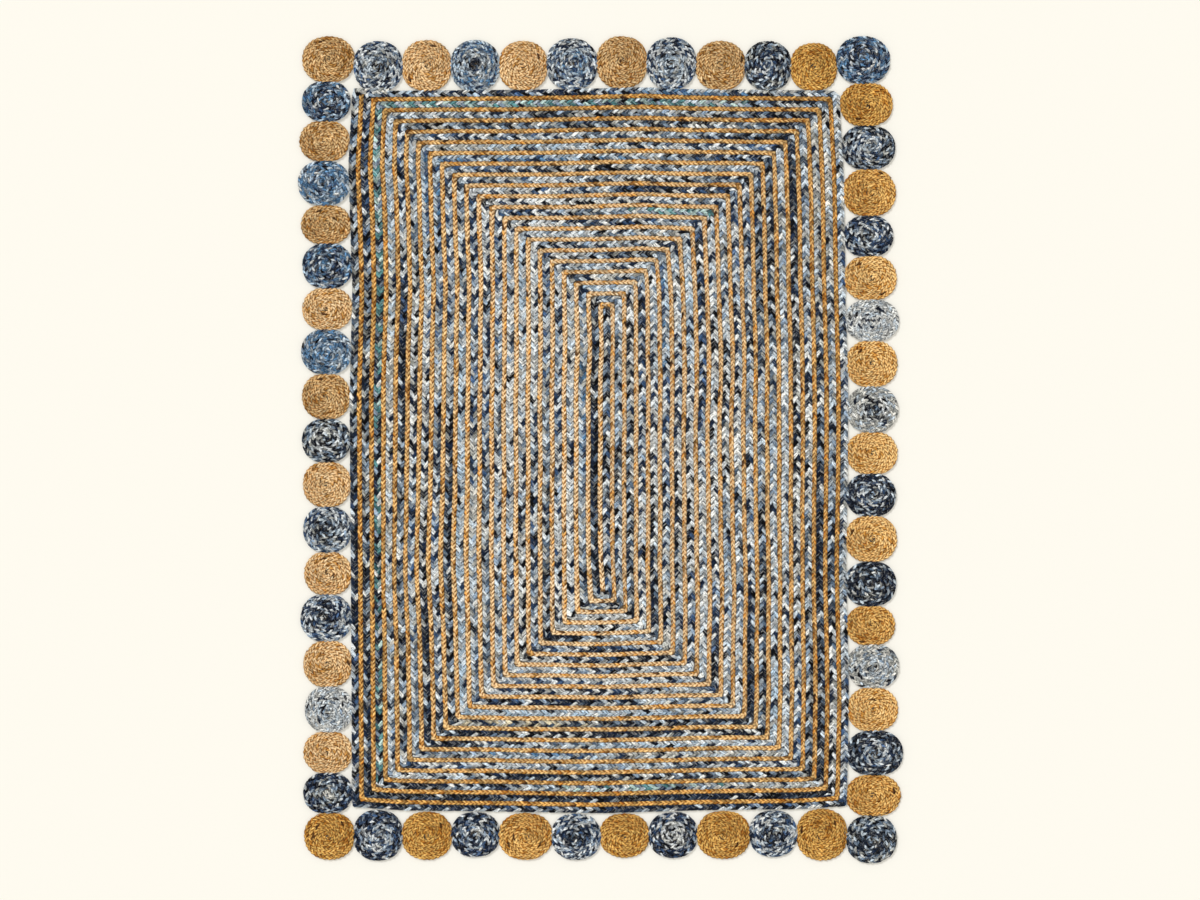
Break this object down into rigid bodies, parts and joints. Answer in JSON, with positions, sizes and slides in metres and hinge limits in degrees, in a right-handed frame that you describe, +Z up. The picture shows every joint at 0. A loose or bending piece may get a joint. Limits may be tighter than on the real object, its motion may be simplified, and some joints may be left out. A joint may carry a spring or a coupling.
{
  "type": "rag rug",
  "caption": "Flat rectangular rag rug of jute and denim plaits sewn side by side in a square spiral, edged all round with coiled discs of the same plaits.",
  "frame": {"origin": "on the floor, under the middle of the rug's outline", "axes": "+X across the rug, +Y along its length, +Z up out of its face"},
  "size_m": [1.498, 2.048, 0.0095],
  "materials": {
    "sewn_plaits": "matt",
    "jute_plait": "matt",
    "denim_plait": "matt"
  },
  "bodies": {
    "root": {"rug_field": "sewn_plaits", "disc_bottom_01_jute": "jute_plait", "disc_bottom_02_denim": "denim_plait", "disc_bottom_03_jute": "jute_plait", "disc_bottom_04_denim": "denim_plait", "disc_bottom_05_jute": "jute_plait", "disc_bottom_06_denim": "denim_plait", "disc_bottom_07_jute": "jute_plait", "disc_bottom_08_denim": "denim_plait", "disc_bottom_09_jute": "jute_plait", "disc_bottom_10_denim": "denim_plait", "disc_bottom_11_jute": "jute_plait", "disc_bottom_12_denim": "denim_plait", "disc_left_02_denim": "denim_plait", "disc_left_03_jute": "jute_plait", "disc_left_04_denim": "denim_plait", "disc_left_05_jute": "jute_plait", "disc_left_06_denim": "denim_plait", "disc_left_07_jute": "jute_plait", "disc_left_08_denim": "denim_plait", "disc_left_09_jute": "jute_plait", "disc_left_10_denim": "denim_plait", "disc_left_11_jute": "jute_plait", "disc_left_12_denim": "denim_plait", "disc_left_13_jute": "jute_plait", "disc_left_14_denim": "denim_plait", "disc_left_15_jute": "jute_plait", "disc_left_16_denim": "denim_plait", "disc_left_17_jute": "jute_plait", "disc_left_18_denim": "denim_plait", "disc_right_02_jute": "jute_plait", "disc_right_03_denim": "denim_plait", "disc_right_04_jute": "jute_plait", "disc_right_05_denim": "denim_plait", "disc_right_06_jute": "jute_plait", "disc_right_07_denim": "denim_plait", "disc_right_08_jute": "jute_plait", "disc_right_09_denim": "denim_plait", "disc_right_10_jute": "jute_plait", "disc_right_11_denim": "denim_plait", "disc_right_12_jute": "jute_plait", "disc_right_13_denim": "denim_plait", "disc_right_14_jute": "jute_plait", "disc_right_15_denim": "denim_plait", "disc_right_16_jute": "jute_plait", "disc_right_17_denim": "denim_plait", "disc_right_18_jute": "jute_plait", "disc_top_01_jute": "jute_plait", "disc_top_02_denim": "denim_plait", "disc_top_03_jute": "jute_plait", "disc_top_04_denim": "denim_plait", "disc_top_05_jute": "jute_plait", "disc_top_06_denim": "denim_plait", "disc_top_07_jute": "jute_plait", "disc_top_08_denim": "denim_plait", "disc_top_09_jute": "jute_plait", "disc_top_10_denim": "denim_plait", "disc_top_11_jute": "jute_plait", "disc_top_12_denim": "denim_plait"}
  },
  "joints": []
}
